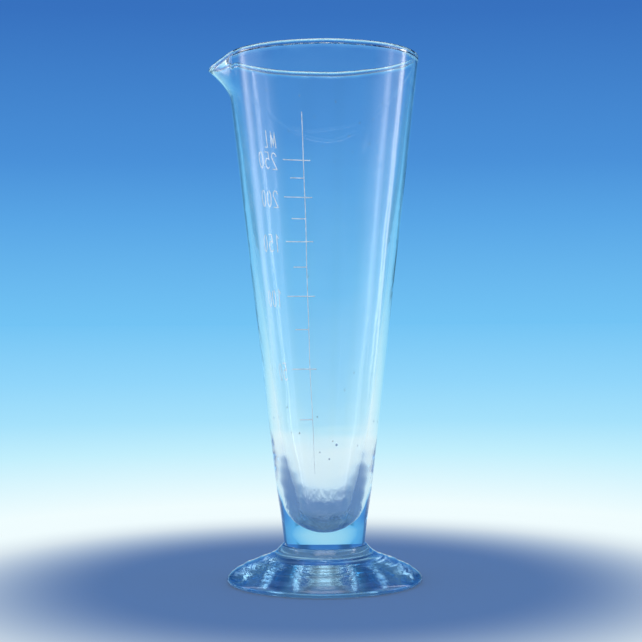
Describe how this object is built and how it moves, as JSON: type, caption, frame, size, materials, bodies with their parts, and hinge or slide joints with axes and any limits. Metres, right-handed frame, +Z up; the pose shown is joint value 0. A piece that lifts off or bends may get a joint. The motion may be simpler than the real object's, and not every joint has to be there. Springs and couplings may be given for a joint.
{
  "type": "conical glass graduate",
  "caption": "Tall conical glass measure with a pulled pouring lip, a solid domed foot and an engraved volume scale, for measuring out and pouring liquids.",
  "frame": {"origin": "centre of the foot's flat underside, on the bowl's axis", "axes": "+Z up along the bowl's axis, pouring lip towards -X, scale engraved in the +Y side"},
  "size_m": [0.0849, 0.0784, 0.21],
  "materials": {
    "clear_glass": "gloss",
    "foot_glass": "gloss",
    "frosted_engraving": "matte"
  },
  "bodies": {
    "root": {"foot": "foot_glass", "bowl": "clear_glass", "scale_line": "frosted_engraving", "long_marks": "frosted_engraving", "short_marks": "frosted_engraving", "numerals": "frosted_engraving", "unit_mark": "frosted_engraving"}
  },
  "joints": []
}
